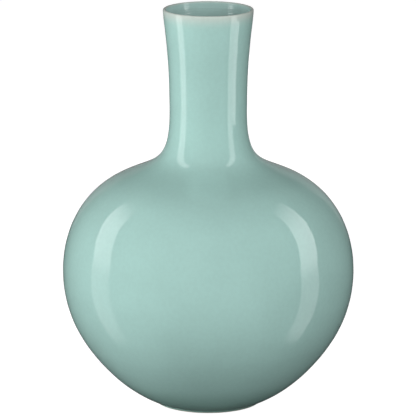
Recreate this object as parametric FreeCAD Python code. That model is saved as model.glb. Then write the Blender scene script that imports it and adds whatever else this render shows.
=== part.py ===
import FreeCAD, Part
import math
import os

# Straight-necked globular porcelain vase, in millimetres, +Z up, standing on z = 0.
#
# It is built up as a potter builds it. Four thrown sections (foot, lower belly, upper belly and
# neck) are luted together with slip in V-shaped lap joints. The glaze then covers them as a coat
# outside, a lining inside, a thin bead over the lip and a patch inside the foot ring. Only the
# rim that the vase stands on stays bare. Every section of the pot is a profile in the X-Z plane,
# turned about Z, and neighbours share the same curve, so they meet face to face.

# Overall form
HEIGHT = 435.0
BELLY_RADIUS = 158.6
LIP_THICKNESS = 3.2        # with its glaze; the lip ends in a half circle

# Outer glazed surface as (radius, height), from the foot to the mouth
OUTLINE = [
    (59.1, 2.2),           # lower edge of the belly, at the cove over the foot
    (74.0, 9.6),
    (90.0, 20.0),
    (119.6, 48.0),
    (147.7, 92.0),
    (BELLY_RADIUS, 146.0),  # widest
    (150.7, 192.0),
    (130.6, 226.0),
    (102.8, 248.0),
    (71.3, 262.0),         # shoulder, where the belly's curve turns over
    (51.5, 276.0),         # root of the neck
    (43.8, 296.0),
    (42.0, 326.0),         # narrowest
    (43.5, 375.0),
    (49.0, HEIGHT - 1.8),  # start of the lip's half circle
]

# Foot
COVE_RADIUS = 1.0          # hollow between the upright foot wall and the belly
GLAZE_STOP = 1.0           # height at which the glaze ends on the foot wall
FOOT_CORNER = 0.9          # rounding of the bare rim's outer corner
RIM_INNER_RADIUS = 49.5    # inner edge of the flat that the vase stands on
RECESS_RADIUS = 47.0       # where the foot's sloping inner wall meets the recess ceiling
RECESS_HEIGHT = 7.5        # ceiling of the recess at its edge
RECESS_DOME = 0.8          # how much higher the ceiling is in the middle
BASE_GLAZE_STOP = 2.0      # height at which the glaze ends on the foot's inner wall

# Thicknesses
GLAZE = 0.7                # outside and inside
LIP_GLAZE = 0.3            # glaze runs off the lip in the kiln and stays thin there
LIP_RUN_OFF = 14.0         # height under the lip over which the glaze thins
BASE_GLAZE = 0.5
WALL = [                   # whole wall with both glazes, as (outer height, thickness)
    (0.0, 9.5),
    (50.0, 7.6),
    (146.0, 6.4),
    (262.0, 6.2),
    (300.0, 5.2),
    (410.0, 5.0),
    (HEIGHT, LIP_THICKNESS),
]
FLOOR_HEIGHT = 18.0        # glazed floor inside, at the centre
FLOOR_EASE_RADIUS = 42.0   # a point on the dished floor, and how far it rises from the centre
FLOOR_EASE_RISE = 1.2
FLOOR_BLEND_HEIGHT = 20.0  # outer height from which the inside follows the wall

# Luted joints: height of each joint's edge on the wall's outer face
FOOT_JOINT = 34.0
BELLY_JOINT = 146.0
NECK_JOINT = 286.0
SLIP = 0.8                 # thickness of the slip in a joint
RIDGE_SHARE = 0.3          # height of a joint's V ridge as a share of the wall's width there

STATIONS = 34              # points taken along a curve to set another one off from it


def at(radius, height):
    return FreeCAD.Vector(radius, 0, height)


def line(start, end):
    return Part.LineSegment(start, end).toShape()


def arc(start, through, end):
    return Part.Arc(start, through, end).toShape()


def turned(edges):
    """Solid of revolution about Z of the closed profile that the edges make."""
    face = Part.Face(Part.Wire(Part.__sortEdges__(edges)))
    solid = face.revolve(FreeCAD.Vector(0, 0, 0), FreeCAD.Vector(0, 0, 1), 360)
    return solid if solid.Volume > 0 else solid.reversed()


def smooth_curve(points):
    curve = Part.BSplineCurve()
    curve.interpolate(Points=points)
    return curve


def inward_of(direction):
    """Direction into the wall, for one that runs up its outer face."""
    return at(-direction.z, direction.x)


def blend(table, height):
    """Value at a height from a table of (height, value), straight between its rows."""
    for (low, first), (high, last) in zip(table, table[1:]):
        if height <= high:
            return first + (last - first) * (height - low) / (high - low)
    return table[-1][1]


def glaze_depth(height):
    thinning = [(HEIGHT - LIP_RUN_OFF, GLAZE), (HEIGHT - LIP_THICKNESS / 2, LIP_GLAZE)]
    return GLAZE if height < thinning[0][0] else blend(thinning, height)


def body_depth(height):
    return blend(WALL, height) - glaze_depth(height)


def wall_depth(height):
    return blend(WALL, height)


# --- Curves of the wall --------------------------------------------------------------------

OUTWARD = at(1, 0)
INWARD = at(-1, 0)
UPWARD = at(0, 1)

glaze_face = smooth_curve([at(*point) for point in OUTLINE])
lowest, off_the_foot = glaze_face.getD1(glaze_face.FirstParameter)
highest, up_the_flare = glaze_face.getD1(glaze_face.LastParameter)
off_the_foot.normalize()
up_the_flare.normalize()
lip_middle = highest + inward_of(up_the_flare) * (LIP_THICKNESS / 2)
cove_centre = lowest - inward_of(off_the_foot) * COVE_RADIUS
foot_radius = cove_centre.x - COVE_RADIUS


def set_off(depth_at, above=0.0):
    """Points up the wall, above a height, each depth_at(height) inside the outer glazed face."""
    points = []
    first, last = glaze_face.FirstParameter, glaze_face.LastParameter
    for i in range(STATIONS + 1):
        place, along = glaze_face.getD1(first + (last - first) * i / STATIONS)
        if place.z > above:
            points.append(place + inward_of(along.normalize()) * depth_at(place.z))
    return points


def inner_curve(depth_at, floor_height):
    """Curve down the inside, from the lip to the middle of the dished floor."""
    wall = set_off(depth_at, above=FLOOR_BLEND_HEIGHT)[::-1]
    middle = at(0, floor_height)
    ease = at(FLOOR_EASE_RADIUS, floor_height + FLOOR_EASE_RISE)
    across = [at(-point.x, point.z) for point in (ease, wall[-1])]
    curve = smooth_curve(wall + [ease, middle] + across)
    curve.segment(curve.FirstParameter, curve.parameter(middle))
    return curve


body_face = smooth_curve(set_off(glaze_depth))
inner_body_face = inner_curve(body_depth, FLOOR_HEIGHT - GLAZE)
lining_face = inner_curve(wall_depth, FLOOR_HEIGHT)


def ends(curve):
    return curve.value(curve.FirstParameter), curve.value(curve.LastParameter)


def lip_arc(outer_end, inner_end):
    """Half circle over the lip from the outer face to the inner one."""
    radius = (outer_end - inner_end).Length / 2
    return arc(outer_end, lip_middle + up_the_flare * radius, inner_end)


def cove(depth):
    """Foot wall from the glaze's edge up, then the cove under the belly, depth inside the glaze."""
    radius = COVE_RADIUS + depth
    towards_belly = inward_of(off_the_foot)
    halfway = (INWARD + towards_belly).normalize()
    wall_top = cove_centre + INWARD * radius
    return [
        line(at(wall_top.x, GLAZE_STOP), wall_top),
        arc(wall_top, cove_centre + halfway * radius, cove_centre + towards_belly * radius),
    ]


# --- Foot ring and recess ------------------------------------------------------------------

# The foot's inner wall leans from the rim's inner edge to the recess ceiling.
rim_inner = at(RIM_INNER_RADIUS, 0)
recess_edge = at(RECESS_RADIUS, RECESS_HEIGHT)
lean = (recess_edge - rim_inner).normalize()
off_the_lean = inward_of(lean)


def on_inner_wall(height, depth):
    """Point on the foot's leaning inner wall at a height, depth towards the axis."""
    along = (height - depth * off_the_lean.z) / lean.z
    return rim_inner + lean * along + off_the_lean * depth


def recess(depth, lowest):
    """Recess ceiling from the axis, then down the leaning wall to a height, both set off."""
    middle = at(0, RECESS_HEIGHT + RECESS_DOME - depth)
    corner = on_inner_wall(RECESS_HEIGHT - depth, depth)
    shoulder = at(corner.x / 2, corner.z + (middle.z - corner.z) * 3 / 4)
    return [arc(middle, shoulder, corner), line(corner, on_inner_wall(lowest, depth))]


def bare_rim():
    """Flat that the vase stands on, and the rounded bare corner up to the glaze's edge."""
    wall_radius = foot_radius - GLAZE
    corner_centre = at(wall_radius - FOOT_CORNER, FOOT_CORNER)
    diagonal = (OUTWARD - UPWARD) * (FOOT_CORNER / math.sqrt(2))
    return [
        line(rim_inner, corner_centre - UPWARD * FOOT_CORNER),
        arc(
            corner_centre - UPWARD * FOOT_CORNER,
            corner_centre + diagonal,
            corner_centre + OUTWARD * FOOT_CORNER,
        ),
        line(corner_centre + OUTWARD * FOOT_CORNER, at(wall_radius, GLAZE_STOP)),
    ]


# --- Solids --------------------------------------------------------------------------------


def porcelain():
    """The whole unglazed pot, before it is divided at its luted joints."""
    outer_end = ends(body_face)[1]
    inner_end, floor_middle = ends(inner_body_face)
    return turned(
        recess(0, 0)
        + bare_rim()
        + cove(GLAZE)
        + [body_face.toShape(), lip_arc(outer_end, inner_end), inner_body_face.toShape()]
        + [line(floor_middle, at(0, RECESS_HEIGHT + RECESS_DOME))]
    )


def radius_at(curve, height):
    """Radius at which a wall curve crosses a height."""
    level = Part.LineSegment(at(0, height), at(BELLY_RADIUS, height))
    return max(crossing.X for crossing in curve.intersect(level))


def slip_ring(height):
    """V-shaped layer of slip right across the wall: its ridge points up, over the wall's middle."""
    outer = radius_at(body_face, height)
    inner = radius_at(inner_body_face, height)
    ridge = (outer - inner) * RIDGE_SHARE
    middle = (outer + inner) / 2
    slope = ridge / (middle - inner)
    reach = (outer - inner) / 2 + SLIP
    corners = [
        at(middle - reach, height + ridge - slope * reach),
        at(middle, height + ridge),
        at(middle + reach, height + ridge - slope * reach),
    ]
    corners += [corner - UPWARD * SLIP for corner in corners[::-1]]
    return turned([line(a, b) for a, b in zip(corners, corners[1:] + corners[:1])])


def luted_pot():
    """Thrown sections and the slip between them, by name."""
    pot = porcelain()
    rings = [slip_ring(height) for height in (FOOT_JOINT, BELLY_JOINT, NECK_JOINT)]
    sections = sorted(pot.cut(rings).Solids, key=lambda solid: solid.CenterOfMass.z)
    joints = [pot.common(ring).Solids[0] for ring in rings]
    names = ["foot_section", "lower_belly_section", "upper_belly_section", "neck_section"]
    joint_names = ["foot_slip_joint", "belly_slip_joint", "neck_slip_joint"]
    return dict(zip(names, sections)) | dict(zip(joint_names, joints))


def outer_glaze():
    low = line(at(foot_radius - GLAZE, GLAZE_STOP), at(foot_radius, GLAZE_STOP))
    high = line(ends(glaze_face)[1], ends(body_face)[1])
    faces = [glaze_face.toShape(), body_face.toShape()]
    return turned([low, high] + faces + cove(0) + cove(GLAZE))


def lip_glaze():
    glazed = ends(glaze_face)[1], ends(lining_face)[0]
    bare = ends(body_face)[1], ends(inner_body_face)[0]
    sides = [line(a, b) for a, b in zip(glazed, bare)]
    return turned([lip_arc(*glazed), lip_arc(*bare)] + sides)


def inner_glaze():
    high = line(ends(lining_face)[0], ends(inner_body_face)[0])
    middle = line(ends(lining_face)[1], ends(inner_body_face)[1])
    return turned([high, middle, lining_face.toShape(), inner_body_face.toShape()])


def base_glaze():
    edge = line(on_inner_wall(BASE_GLAZE_STOP, 0), on_inner_wall(BASE_GLAZE_STOP, BASE_GLAZE))
    top = RECESS_HEIGHT + RECESS_DOME
    middle = line(at(0, top - BASE_GLAZE), at(0, top))
    return turned(recess(0, BASE_GLAZE_STOP) + recess(BASE_GLAZE, BASE_GLAZE_STOP) + [edge, middle])


def main():
    nodes = luted_pot()
    nodes["outer_glaze"] = outer_glaze()
    nodes["lip_glaze"] = lip_glaze()
    nodes["inner_glaze"] = inner_glaze()
    nodes["base_glaze"] = base_glaze()
    os.makedirs("parts", exist_ok=True)
    for name, solid in nodes.items():
        box = solid.BoundBox
        print(
            f"{name}: valid {solid.isValid()}, {solid.Volume / 1000:.1f} cm3, "
            f"radius {box.XMax:.1f}, z {box.ZMin:.2f} to {box.ZMax:.2f}"
        )
        solid.exportStep(f"parts/{name}.step")


main()
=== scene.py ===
"""Celadon vase: its glaze, bare porcelain and studio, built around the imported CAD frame.

Metres, +Z up. Outlines are read from the CAD nodes' sections, and sizes from their boxes.
"""

import math
from collections import Counter

import bmesh
import bpy
import numpy as np
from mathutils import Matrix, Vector


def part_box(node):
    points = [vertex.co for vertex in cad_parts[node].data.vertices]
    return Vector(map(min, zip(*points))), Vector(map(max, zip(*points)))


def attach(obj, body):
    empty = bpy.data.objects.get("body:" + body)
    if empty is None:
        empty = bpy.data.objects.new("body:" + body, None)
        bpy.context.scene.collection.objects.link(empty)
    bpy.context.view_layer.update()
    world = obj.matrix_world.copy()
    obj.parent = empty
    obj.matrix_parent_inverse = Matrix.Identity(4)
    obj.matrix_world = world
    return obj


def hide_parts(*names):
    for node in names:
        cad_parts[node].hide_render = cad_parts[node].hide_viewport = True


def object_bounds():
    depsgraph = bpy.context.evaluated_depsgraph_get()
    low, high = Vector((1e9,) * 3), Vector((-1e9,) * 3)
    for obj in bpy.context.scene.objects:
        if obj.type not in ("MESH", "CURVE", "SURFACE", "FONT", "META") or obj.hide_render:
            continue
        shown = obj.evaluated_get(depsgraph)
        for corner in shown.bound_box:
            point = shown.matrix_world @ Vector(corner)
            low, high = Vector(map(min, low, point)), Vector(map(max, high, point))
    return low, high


MM = 0.001

# --- Fineness of the meshes -----------------------------------------------------------------
WELD = 1e-6                     # vertices of the frame closer than this are one
AROUND = 256                    # faces round a turned piece
WALL_STEP = 2.5 * MM            # longest face up the wall
RING_STEP = 0.55 * MM           # longest face where throwing rings show
HIDDEN_STEP = 8.0 * MM          # longest face where the coat lies on the body
ARC_STEPS = 8                   # faces along a rounded edge
SHARP = math.radians(35)        # an outline has a corner where it turns more than this
SNAP = 6                        # decimals that an outline's points are rounded to, in metres

# --- What the potter's hands and the kiln left on the shape -----------------------------------
OUT_OF_ROUND = 0.10 * MM        # the wall is slightly oval, and never outside its CAD radius
OVAL_TURN = 0.6                 # sets which way the oval points, in radians
OVAL_FROM = 0.1                 # the foot is round, and the oval sets in over this share up
SWELL = 0.03 * MM               # broad spiral that the ribs left on the outside
SWELL_PITCH = 21 * MM
SWELL_UNEVEN = (0.5, 1.7, 1.1)  # second spiral: share, pitch against the first's, start
SWELL_FROM = (6 * MM, 30 * MM)  # it sets in over these heights
RING_DEPTH = 0.06 * MM          # finger rings inside the neck
RING_PITCH = 2.6 * MM
RING_UNEVEN = (0.6, 1.63, 2.0)  # second set of rings: share, pitch against the first's, start
RING_FADE = 60 * MM             # the rings fade out over this height below the neck
LIP_CALM = 6 * MM               # the rings smooth out over this height under the lip
GLAZE_BEAD = 0.25 * MM          # rounding of the glaze's edge
RIM_WEAR = 0.8 * MM             # rounding of the bare rim's inner edge
POOLED_GLAZE = 2.5 * MM         # radius of the glaze pooled in the corner of the recess

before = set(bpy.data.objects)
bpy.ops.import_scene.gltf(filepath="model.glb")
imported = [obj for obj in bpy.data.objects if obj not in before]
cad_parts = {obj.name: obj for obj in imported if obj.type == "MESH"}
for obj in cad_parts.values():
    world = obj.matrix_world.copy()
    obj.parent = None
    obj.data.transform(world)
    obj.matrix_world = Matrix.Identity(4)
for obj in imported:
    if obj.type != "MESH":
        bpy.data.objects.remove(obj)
cad_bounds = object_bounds()
height = cad_bounds[1].z
neck_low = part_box("neck_section")[0].z


# --- Outlines from the CAD's sections ---------------------------------------------------------


def section_edges(node):
    """Edges of a turned node's outline at its seam, as pairs of (radius, height)."""
    mesh = bmesh.new()
    mesh.from_mesh(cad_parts[node].data)
    bmesh.ops.remove_doubles(mesh, verts=mesh.verts[:], dist=WELD)
    seam = {v for v in mesh.verts if abs(v.co.y) < WELD and v.co.x > -WELD}
    edges = [
        tuple((round(v.co.x, SNAP), round(v.co.z, SNAP)) for v in edge.verts)
        for edge in mesh.edges
        if edge.verts[0] in seam and edge.verts[1] in seam
    ]
    mesh.free()
    return edges


def outline(*nodes):
    """Outline of nodes taken as one, from the top of the axis round, without shared edges."""
    count = Counter(frozenset(edge) for node in nodes for edge in section_edges(node))
    linked = {}
    for edge, times in count.items():
        if times == 1 and len(edge) == 2:
            a, b = edge
            linked.setdefault(a, []).append(b)
            linked.setdefault(b, []).append(a)
    start = max((p for p in linked if len(linked[p]) == 1), key=lambda p: p[1])
    path = [start, linked[start][0]]
    while len(linked[path[-1]]) > 1:
        path.append(next(p for p in linked[path[-1]] if p != path[-2]))
    return np.array(path)


def nearest(path, place):
    """Index of the path's point nearest to place."""
    return int(np.argmin(np.linalg.norm(path - place, axis=1)))


def rounded(path, corner, radius):
    """The path with its point at corner turned into an arc."""
    index = nearest(path, corner)
    before, after = path[index - 1] - path[index], path[index + 1] - path[index]
    before, after = before / np.linalg.norm(before), after / np.linalg.norm(after)
    half_angle = math.acos(before @ after) / 2
    middle = (before + after) / np.linalg.norm(before + after)
    centre = path[index] + middle * radius / math.sin(half_angle)
    reach = radius / math.tan(half_angle)
    first = path[index] + before * reach - centre
    last = path[index] + after * reach - centre
    turn = math.pi - 2 * half_angle
    arc = [
        centre + (math.sin((1 - s) * turn) * first + math.sin(s * turn) * last) / math.sin(turn)
        for s in np.linspace(0, 1, ARC_STEPS + 1)
    ]
    return np.vstack([path[:index], arc, path[index + 1 :]])


def spline(path, steps):
    """Points on a smooth curve through the path's, no further apart than each segment's step."""
    gap = np.linalg.norm(np.diff(path, axis=0), axis=1)[:, None]
    slopes = np.diff(path, axis=0) / gap
    matrix = np.eye(len(path))
    for i in range(1, len(path) - 1):
        matrix[i, i - 1 : i + 2] = gap[i - 1, 0], 2 * (gap[i - 1, 0] + gap[i, 0]), gap[i, 0]
    right = np.zeros_like(path)
    right[1:-1] = 6 * np.diff(slopes, axis=0)
    second = np.linalg.solve(matrix, right)
    points = []
    for i, step in enumerate(steps):
        pieces = math.ceil(gap[i, 0] / step)
        for b in np.arange(pieces) / pieces:
            a = 1 - b
            bow = (a**3 - a) * second[i] + (b**3 - b) * second[i + 1]
            points.append(a * path[i] + b * path[i + 1] + bow * gap[i, 0] ** 2 / 6)
    return points


def smoothed(path, steps):
    """The path as smooth curves between its sharp corners, with a longest step per segment."""
    ways = np.diff(path, axis=0)
    ways /= np.linalg.norm(ways, axis=1)[:, None]
    turns = np.einsum("ij,ij->i", ways[:-1], ways[1:])
    corners = [0, *(np.flatnonzero(turns < math.cos(SHARP)) + 1), len(path) - 1]
    points = []
    for first, last in zip(corners, corners[1:]):
        points += spline(path[first : last + 1], steps[first:last])
    return np.vstack([points, path[-1]])


# --- Turned pieces ----------------------------------------------------------------------------


def fade(value, zero, one):
    """0 at zero, 1 at one, smooth between them and flat beyond."""
    share = min(1.0, max(0.0, (value - zero) / (one - zero)))
    return share * share * (3 - 2 * share)


def oval(z, angles):
    """How far the wall lies inside its true round."""
    narrowing = (1 + np.cos(2 * angles + OVAL_TURN)) / 2
    return OUT_OF_ROUND * narrowing * fade(z, 0, OVAL_FROM * height)


def coat_inset(z, angles, faces_out):
    """How far the glaze lies inside its nominal face: swell outside, throwing rings inside."""
    if faces_out:
        share, longer, start = SWELL_UNEVEN
        wave = np.sin(2 * math.pi * z / SWELL_PITCH - angles)
        wave += share * np.sin(2 * math.pi * z / (longer * SWELL_PITCH) - 2 * angles + start)
        strength = fade(z, *SWELL_FROM) * fade(z, height, height - 4 * LIP_CALM)
        return oval(z, angles) + SWELL * (1 + share + wave) * strength
    share, longer, start = RING_UNEVEN
    wave = np.sin(2 * math.pi * z / RING_PITCH + angles)
    wave += share * np.sin(2 * math.pi * z / (longer * RING_PITCH) + angles + start)
    strength = fade(z, neck_low - RING_FADE, neck_low) * fade(z, height, height - LIP_CALM)
    return oval(z, angles) + RING_DEPTH * (1 + share + wave) * strength


def no_inset(z, angles, faces_out):
    """A face exactly where the CAD has it."""
    return np.zeros_like(angles)


def turned_piece(name, runs):
    """Closed mesh of an outline turned about Z, from the axis back to it.

    runs is a list of (points, inset): inset gives how far that run lies inside its points.
    """
    angles = np.arange(AROUND) * 2 * math.pi / AROUND
    points = np.vstack([points for points, inset in runs])
    insets = [inset for points, inset in runs for point in points]
    ways = np.gradient(points, axis=0)
    ways /= np.linalg.norm(ways, axis=1)[:, None]
    verts, faces, rings = [], [], []
    for (radius, z), (out, up), inset in zip(points, ways, insets):
        if radius < WELD:
            rings.append([len(verts)] * AROUND)
            verts.append((0.0, 0.0, z))
            continue
        depth = inset(z, angles, -up > 0)
        radii = radius + up * depth
        rings.append(list(range(len(verts), len(verts) + AROUND)))
        verts.extend(zip(radii * np.cos(angles), radii * np.sin(angles), z - out * depth))
    for low, high in zip(rings, rings[1:]):
        for i in range(AROUND):
            j = (i + 1) % AROUND
            faces.append(list(dict.fromkeys((low[i], low[j], high[j], high[i]))))
    mesh = bpy.data.meshes.new(name)
    mesh.from_pydata(verts, [], faces)
    work = bmesh.new()
    work.from_mesh(mesh)
    bmesh.ops.recalc_face_normals(work, faces=work.faces[:])
    for face in work.faces:
        face.smooth = True
    work.to_mesh(mesh)
    work.free()
    piece = bpy.data.objects.new(name, mesh)
    bpy.context.scene.collection.objects.link(piece)
    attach(piece, "root")
    return piece


def glaze_coat():
    """Glaze over the outside, the lip and the inside, one closed coat on the body."""
    path = outline("outer_glaze", "lip_glaze", "inner_glaze")
    lip = int(np.argmax(path[:, 1]))
    lowest = np.flatnonzero(path[:, 1] < path[:, 1].min() + WELD)
    outer_edge, inner_edge = path[lowest[0]], path[lowest[-1]]
    heights = (path[:-1, 1] + path[1:, 1]) / 2
    segments = np.arange(len(heights))
    has_rings = (segments < lip) & (heights > neck_low - RING_FADE)
    steps = np.where(has_rings, RING_STEP, WALL_STEP)
    steps[segments > lowest[0]] = HIDDEN_STEP
    points = rounded(smoothed(path, steps), outer_edge, GLAZE_BEAD)
    hidden = nearest(points, inner_edge)
    runs = [(points[:hidden], coat_inset), (points[hidden:], no_inset)]
    coat = turned_piece("glaze_coat", runs)
    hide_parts("outer_glaze", "lip_glaze", "inner_glaze")
    return coat


def foot_ring():
    """Thrown foot with the worn bare rim that the vase stands on."""
    path = outline("foot_section")
    standing = path[path[:, 1] < WELD]
    inner_edge = standing[np.argmin(standing[:, 0])]
    points = rounded(path, inner_edge, RIM_WEAR)
    foot = turned_piece("foot_ring", [(points, no_inset)])
    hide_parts("foot_section")
    return foot


def base_patch():
    """Glaze inside the foot ring, pooled in the corner of the recess and rounded at its edge."""
    path = outline("base_glaze")
    lowest = path[path[:, 1] < path[:, 1].min() + WELD]
    edge = lowest[np.argmin(lowest[:, 0])]
    after = path[nearest(path, edge) + 1 :]
    ways = np.diff(after, axis=0)
    turns = np.abs(np.diff(np.arctan2(ways[:, 1], ways[:, 0])))
    recess_corner = after[1 + int(np.argmax(turns))]
    points = smoothed(path, np.full(len(path) - 1, WALL_STEP))
    points = rounded(points, edge, GLAZE_BEAD)
    points = rounded(points, recess_corner, POOLED_GLAZE)
    patch = turned_piece("base_patch", [(points, no_inset)])
    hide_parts("base_glaze")
    return patch


# --- Materials --------------------------------------------------------------------------------

CELADON = (0.398, 0.628, 0.581)         # even coat on the wall
CELADON_THIN = (0.57, 0.65, 0.60)       # where the porcelain shows through, on the lip
CELADON_LOW = (0.30, 0.52, 0.46)       # darker, towards the foot
CELADON_LINING = (0.48, 0.70, 0.66)     # thinner coat inside
GLAZE_SPECK = (0.16, 0.17, 0.12)
BISCUIT = (0.72, 0.68, 0.60)            # bare fired porcelain
BISCUIT_FLASHED = (0.62, 0.47, 0.33)    # toasted by the kiln, along the edge of the glaze
BISCUIT_SPECK = (0.20, 0.14, 0.09)      # iron
SLIP = (0.70, 0.67, 0.60)               # joins the thrown sections

DARKER_UP_TO = 45 * MM            # the glaze is darker below this height
THIN_LIP = 20 * MM              # it thins over this height under the lip
THIN_LINING = THIN_LIP / 6      # the same on the inside
LINING_SHADE_OVER = 16 * MM        # painted shade in the lining is darkest this far below the lip
LINING_SHADE = 0.74             # how light the painted shade leaves the lining there, against the lip
LINING_LINES = 0.05             # how far the throwing rings vary its shade
FLASH_UP_TO = 1.4 * MM          # the bare rim is toasted fully from this height
GLAZE_INDEX = 1.5               # refractive index
MIDDLE = (0.3, 0.7)             # the range that most of a noise's values lie in


class Shader:
    """Builds one material's nodes."""

    def __init__(self, name):
        self.material = bpy.data.materials.new(name)
        self.material.use_nodes = True
        self.tree = self.material.node_tree
        self.surface = self.tree.nodes["Principled BSDF"]
        self.place = self.node("ShaderNodeTexCoord").outputs["Object"]
        split = self.node("ShaderNodeSeparateXYZ", Vector=self.place)
        self.height = split.outputs["Z"]

    def node(self, kind, _props=None, **inputs):
        node = self.tree.nodes.new(kind)
        for key, value in (_props or {}).items():
            setattr(node, key, value)
        for key, value in inputs.items():
            self.connect(node.inputs[key.replace("_", " ")], value)
        return node

    def connect(self, socket, value):
        if isinstance(value, bpy.types.NodeSocket):
            self.tree.links.new(value, socket)
        elif socket.type == "RGBA":
            socket.default_value = (*value, 1)
        else:
            socket.default_value = value

    def noise(self, size, detail=2.0, stretch=None):
        """Noise from 0 to 1 whose features are about size metres across."""
        place = self.place
        if stretch:
            place = self.node("ShaderNodeMapping", Vector=place, Scale=stretch).outputs["Vector"]
        noise = self.node("ShaderNodeTexNoise", Vector=place, Scale=1 / size, Detail=detail)
        return noise.outputs["Fac"]

    def ramp(self, value, low, high, to_low=0.0, to_high=1.0):
        """value taken from the range low to high to another, smooth at both ends."""
        props = {"interpolation_type": "SMOOTHSTEP"}
        names = ("Value", "From_Min", "From_Max", "To_Min", "To_Max")
        ends = dict(zip(names, (value, low, high, to_low, to_high)))
        return self.node("ShaderNodeMapRange", props, **ends).outputs["Result"]

    def vary(self, noise, low, high):
        """A noise's usual range turned into low to high."""
        return self.ramp(noise, *MIDDLE, low, high)

    def mix(self, share, first, second):
        node = self.node("ShaderNodeMix", {"data_type": "RGBA"})
        self.connect(node.inputs["Factor"], share)
        self.connect(node.inputs[6], first)
        self.connect(node.inputs[7], second)
        return node.outputs[2]

    def shade(self, color, value):
        """color made darker or lighter by value, about 1."""
        return self.node("ShaderNodeHueSaturation", Color=color, Value=value).outputs["Color"]

    def specks(self, color, speck, spacing, reach, rarity, strength):
        """color with soft specks: of one in each cell, only those whose draw is in rarity."""
        cells = self.node("ShaderNodeTexVoronoi", Vector=self.place, Scale=1 / spacing)
        spot = self.ramp(cells.outputs["Distance"], *reach)
        draw = self.node("ShaderNodeSeparateColor", Color=cells.outputs["Color"]).outputs["Red"]
        spot = self.times(spot, self.ramp(draw, *rarity))
        return self.mix(self.times(spot, strength), color, speck)

    def times(self, first, second):
        node = self.node("ShaderNodeMath", {"operation": "MULTIPLY"})
        self.connect(node.inputs[0], first)
        self.connect(node.inputs[1], second)
        return node.outputs[0]

    def bump(self, height, depth, under=None):
        inputs = {"Height": height, "Distance": depth, "Strength": 1.0}
        if under:
            inputs["Normal"] = under
        return self.node("ShaderNodeBump", **inputs).outputs["Normal"]

    def finish(self, **inputs):
        for key, value in inputs.items():
            self.connect(self.surface.inputs[key.replace("_", " ")], value)
        return self.material


def celadon(name, base=CELADON, thin_over=None, lining=False):
    """Gloss celadon: cloudy, a little mottled, with rare specks, and thin near the lip. A lining
    also gets painted shade, darker down into the mouth.
    """
    s = Shader(name)
    # the glaze grows darker towards the foot
    color = s.mix(s.ramp(s.height, DARKER_UP_TO, 0.0), base, CELADON_LOW)
    if thin_over:
        thin = s.ramp(s.height, height - thin_over, height)
        color = s.mix(s.times(thin, thin), color, CELADON_THIN)
    clouds, mottling = s.noise(90 * MM), s.noise(4 * MM, 3.0)
    color = s.shade(color, s.vary(clouds, 0.965, 1.035))
    color = s.shade(color, s.vary(mottling, 0.985, 1.015))
    if lining:
        # painted shade: the lining grows darker down into the mouth, where shade falls inside the
        # vase
        depth = s.ramp(s.height, height - LINING_SHADE_OVER, height, LINING_SHADE, 1.0)
        streaks = s.noise(2.2 * MM, stretch=(0.02, 0.02, 1))
        color = s.shade(color, depth)
        color = s.shade(color, s.vary(streaks, 1 - LINING_LINES, 1 + LINING_LINES))
    color = s.specks(color, GLAZE_SPECK, 11 * MM, (0.035, 0.015), (0.88, 0.90), 0.45)
    skin = s.bump(s.noise(7 * MM, 1.0), 0.02 * MM)
    skin = s.bump(s.noise(1.1 * MM), 0.0008 * MM, skin)
    roughness = s.vary(s.noise(50 * MM), 0.035, 0.06)
    return s.finish(Base_Color=color, Roughness=roughness, Normal=skin, IOR=GLAZE_INDEX)


def biscuit(name, base, flash=None):
    """Unglazed fired porcelain: fine matt grain, faint throwing marks and a few iron specks."""
    s = Shader(name)
    color = base
    if flash:
        patches = s.ramp(s.noise(12 * MM), 0.35, 0.65)
        color = s.mix(s.times(s.ramp(s.height, 0.0, FLASH_UP_TO), patches), base, flash)
    color = s.shade(color, s.vary(s.noise(20 * MM, 4.0), 0.94, 1.05))
    color = s.shade(color, s.vary(s.noise(0.5 * MM), 0.93, 1.05))
    color = s.specks(color, BISCUIT_SPECK, 4 * MM, (0.09, 0.05), (0.85, 0.88), 0.6)
    grain = s.bump(s.noise(0.4 * MM, 3.0), 0.03 * MM)
    marks = s.noise(1.6 * MM, 1.0, stretch=(0.03, 0.03, 1))
    grain = s.bump(marks, 0.04 * MM, grain)
    roughness = s.vary(s.noise(6 * MM), 0.62, 0.8)
    return s.finish(Base_Color=color, Roughness=roughness, Normal=grain)


AXIS_REACH = 0.1 * MM           # the lining's lowest faces meet the axis here
FLOOR_ABOVE = 10 * MM           # and lie above this height, inside the vase


def paint(obj, material):
    obj.data.materials.clear()
    obj.data.materials.append(material)


coat = glaze_coat()
foot = foot_ring()
patch = base_patch()

paint(coat, celadon("celadon_coat", thin_over=THIN_LIP))
coat.data.materials.append(
    celadon("celadon_lining", CELADON_LINING, thin_over=THIN_LINING, lining=True)
)
for face in coat.data.polygons:
    x, y, z = face.center
    faces_axis = face.normal.x * x + face.normal.y * y < 0
    on_floor = math.hypot(x, y) < AXIS_REACH and z > FLOOR_ABOVE
    if faces_axis or on_floor:
        face.material_index = 1
paint(patch, celadon("celadon_base"))
paint(foot, biscuit("bare_rim", BISCUIT, BISCUIT_FLASHED))
body = biscuit("porcelain_body", BISCUIT)
slip = biscuit("joining_slip", SLIP)
for node in ("lower_belly_section", "upper_belly_section", "neck_section"):
    paint(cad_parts[node], body)
for node in ("foot_slip_joint", "belly_slip_joint", "neck_slip_joint"):
    paint(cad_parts[node], slip)

# --- Studio -----------------------------------------------------------------------------------

CAMERA_AWAY = 9.0 * height
CAMERA_HEIGHT = 2.5666 * height
CAMERA_PITCH = math.radians(12.963)
CAMERA_LENS = 319.8
CAMERA_ASIDE = -0.3 * MM
CAMERA_REACH = 100.0
FLOOR_SIZE = 400.0
FLOOR_GLOW = 0.99               # how white the camera sees the floor
FLOOR_SHEET = 0.25              # how light its surface is on top of that
FLOOR_BOUNCE = 0.3              # how light it is to the vase
BACKDROP = 1.0
AMBIENT = 0.03

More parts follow.
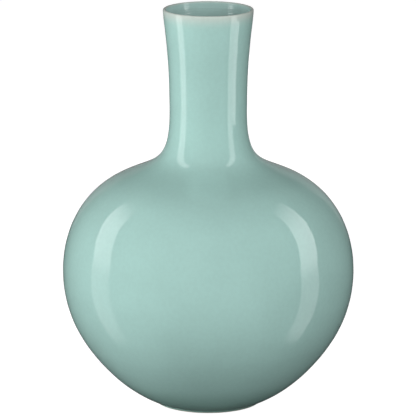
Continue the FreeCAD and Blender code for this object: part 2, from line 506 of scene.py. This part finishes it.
# Soft boxes: azimuth from the camera's side, elevation and power
SOFT_BOX = 1.2
SOFT_BOX_AWAY = 2.0
SOFT_LIGHTS = {
    "left": (-90, 0, 28.5),
    "key": (-30, 0, 14.8),
    "right": (90, 0, 8.8),
    "right_low": (30, 0, 3.6),
    "front": (0, 30, 11.0),
    "left_front": (-30, 30, 7.0),
    "right_front": (60, 30, 10.0),
    "back": (165, 0, 8.0),
}

# Lit strips that the belly mirrors as bands. Each leans in as it rises, from the cross-section
# below to the one above: the distance aside, and y of the strip's two edges. It leans in over the
# heights in lean, and fades from nothing to its full light over those in low and in high.
STRIP_ROWS = 120
STRIP_BRIGHTENS = (0.12, 0.28)  # heights over which its light goes from dim to bright
BELLY_STRIPS = {
    "strip_left": {
        "side": -1,
        "below": (0.527, -0.160, 0.012),
        "above": (0.113, -0.072, -0.0325),
        "lean": (0.20, 0.317),
        "dim": 0.95,
        "bright": 2.7,
        "low": (-0.42, -0.15),
        "high": (0.309, 0.282),
    },
    "strip_right": {
        "side": 1,
        "below": (0.72, -0.257, -0.031),
        "above": (0.110, -0.088, -0.052),
        "lean": (0.20, 0.301),
        "dim": 1.35,
        "bright": 3.3,
        "low": (-0.66, -0.30),
        "high": (0.304, 0.274),
    },
}
# Upright strips: side, distance aside, y of the two edges, lowest and highest z, brightness.
# The neck mirrors the first two, and the lining, through the mouth, mirrors the others.
UPRIGHT_STRIPS = {
    "neck_strip_left": (-1, 0.090, (-0.061, -0.032), (0.294, 0.425), 2.7),
    "neck_strip_right": (1, 0.090, (-0.076, -0.049), (0.294, 0.425), 2.5),
    "mouth_strip_left": (-1, 0.30, (-0.165, -0.058), (0.440, 0.53), 4.4),
    "mouth_strip_right": (1, 0.30, (-0.200, -0.078), (0.440, 0.53), 4.4),
}

# Level black flags that keep the upright strips out of the shoulder and the belly:
# height, how far aside the two edges are, y of the two edges. Each is set on both sides.
FLAGS = {
    "shoulder_flag": (0.293, (0.045, 0.092), (-0.13, -0.072)),
    "neck_flag": (0.293, (0.060, 0.092), (-0.072, 0.01)),
    "mouth_flag": (0.439, (0.170, 0.301), (-0.22, -0.045)),
}

# Card behind the vase, which the glaze mirrors along its outline
CARD_AWAY = 3.0
CARD_HALF_WIDTH = 1.5
CARD_LOW, CARD_HIGH = -0.5, 1.6
CARD_FADE = 0.7
CARD_BRIGHTNESS = 0.28


def link(obj):
    """The object, now in the scene."""
    bpy.context.scene.collection.objects.link(obj)
    return obj


def soft_light(name, azimuth, elevation, power):
    """Round soft box aimed at the vase's middle. It lights, and isn't mirrored in the glaze."""
    light = bpy.data.lights.new(name, "AREA")
    light.shape = "DISK"
    light.size = SOFT_BOX
    light.energy = power
    box = link(bpy.data.objects.new(name, light))
    turn, rise = math.radians(azimuth), math.radians(elevation)
    level = math.cos(rise)
    aim = Vector((math.sin(turn) * level, -math.cos(turn) * level, math.sin(rise)))
    box.location = Vector((0, 0, height / 2)) + aim * SOFT_BOX_AWAY
    box.rotation_euler = aim.to_track_quat("Z", "Y").to_euler()
    box.visible_camera = False
    box.visible_glossy = False
    return box


def glowing_panel(name, rows, brightness):
    """Lit panel between two edges, given as pairs of points. Only the glaze mirrors it."""
    verts = [point for row in rows for point in row]
    faces = [(i, i + 1, i + 3, i + 2) for i in range(0, len(verts) - 2, 2)]
    mesh = bpy.data.meshes.new(name)
    mesh.from_pydata(verts, [], faces)
    panel = link(bpy.data.objects.new(name, mesh))
    s = Shader(name)
    glow = s.node("ShaderNodeEmission", Color=(1, 1, 1), Strength=brightness(s))
    s.connect(s.tree.nodes["Material Output"].inputs["Surface"], glow.outputs[0])
    paint(panel, s.material)
    panel.visible_camera = panel.visible_diffuse = panel.visible_shadow = False
    panel.visible_transmission = False
    return panel


def belly_strip(name, side, below, above, lean, dim, bright, low, high):
    """Tall strip that leans in as it rises, dimmer below and fading out at both ends."""
    rows = []
    for z in np.linspace(low[0], high[0], STRIP_ROWS):
        share = fade(z, *lean)
        aside, front, back = ((1 - share) * a + share * b for a, b in zip(below, above))
        rows.append([(side * aside, front, z), (side * aside, back, z)])

    def brightness(s):
        level = s.ramp(s.height, *STRIP_BRIGHTENS, dim, bright)
        level = s.times(level, s.ramp(s.height, *low))
        return s.times(level, s.ramp(s.height, *high))

    return glowing_panel(name, rows, brightness)


def upright_strip(name, side, aside, edges, ends, bright):
    """Strip that stands straight up beside the vase, evenly lit."""
    rows = [[(side * aside, y, z) for y in edges] for z in ends]
    return glowing_panel(name, rows, lambda s: bright)


def flag(name, side, z, asides, edges):
    """Level panel that gives no light, and hides what is above it from the glaze."""
    rows = [[(side * aside, y, z) for y in edges] for aside in asides]
    return glowing_panel(name, rows, lambda s: 0.0)


def card():
    """White card far behind the vase, fading out at its top and bottom."""
    rows = [
        [(-CARD_HALF_WIDTH, CARD_AWAY, z), (CARD_HALF_WIDTH, CARD_AWAY, z)]
        for z in (CARD_LOW, CARD_HIGH)
    ]

    def brightness(s):
        level = s.ramp(s.height, CARD_LOW, CARD_LOW + CARD_FADE, 0.0, CARD_BRIGHTNESS)
        return s.times(level, s.ramp(s.height, CARD_HIGH, CARD_HIGH - CARD_FADE))

    return glowing_panel("card", rows, brightness)


def floor():
    """Pale floor: white to the camera, where only shade on it shows, and grey to the vase."""
    half = FLOOR_SIZE / 2
    corners = [(-half, -half, 0), (half, -half, 0), (half, half, 0), (-half, half, 0)]
    mesh = bpy.data.meshes.new("floor")
    mesh.from_pydata(corners, [], [(0, 1, 2, 3)])
    ground = link(bpy.data.objects.new("floor", mesh))
    s = Shader("floor")
    lit = s.node("ShaderNodeEmission", Color=(1, 1, 1), Strength=FLOOR_GLOW)
    sheet = s.node("ShaderNodeBsdfDiffuse", Color=(FLOOR_SHEET,) * 3)
    both = s.node("ShaderNodeAddShader")
    s.connect(both.inputs[0], lit.outputs[0])
    s.connect(both.inputs[1], sheet.outputs[0])
    bounce = s.node("ShaderNodeBsdfDiffuse", Color=(FLOOR_BOUNCE,) * 3)
    seen = s.node("ShaderNodeLightPath").outputs["Is Camera Ray"]
    choose = s.node("ShaderNodeMixShader", Fac=seen)
    s.connect(choose.inputs[1], bounce.outputs[0])
    s.connect(choose.inputs[2], both.outputs[0])
    s.connect(s.tree.nodes["Material Output"].inputs["Surface"], choose.outputs[0])
    paint(ground, s.material)
    ground.visible_glossy = False
    return ground


def surroundings():
    """White to the camera, nearly dark to the vase."""
    world = bpy.data.worlds.new("studio")
    bpy.context.scene.world = world
    world.use_nodes = True
    nodes, links = world.node_tree.nodes, world.node_tree.links
    ambient = nodes["Background"]
    backdrop = nodes.new("ShaderNodeBackground")
    for background, strength in ((ambient, AMBIENT), (backdrop, BACKDROP)):
        background.inputs["Color"].default_value = (1, 1, 1, 1)
        background.inputs["Strength"].default_value = strength
    choose = nodes.new("ShaderNodeMixShader")
    path = nodes.new("ShaderNodeLightPath")
    links.new(path.outputs["Is Camera Ray"], choose.inputs[0])
    links.new(ambient.outputs[0], choose.inputs[1])
    links.new(backdrop.outputs[0], choose.inputs[2])
    links.new(choose.outputs[0], nodes["World Output"].inputs["Surface"])


for name, settings in SOFT_LIGHTS.items():
    soft_light(name, *settings)
for name, settings in BELLY_STRIPS.items():
    belly_strip(name, **settings)
for name, settings in UPRIGHT_STRIPS.items():
    upright_strip(name, *settings)
for name, settings in FLAGS.items():
    flag(name + "_left", -1, *settings)
    flag(name + "_right", 1, *settings)
card()
floor()
surroundings()

camera = link(bpy.data.objects.new("camera", bpy.data.cameras.new("camera")))
camera.data.lens = CAMERA_LENS
camera.data.clip_end = CAMERA_REACH
camera.location = (CAMERA_ASIDE, -CAMERA_AWAY, CAMERA_HEIGHT)
camera.rotation_euler = (math.pi / 2 - CAMERA_PITCH, 0, 0)
bpy.context.scene.camera = camera
bpy.context.scene.view_settings.view_transform = "Standard"
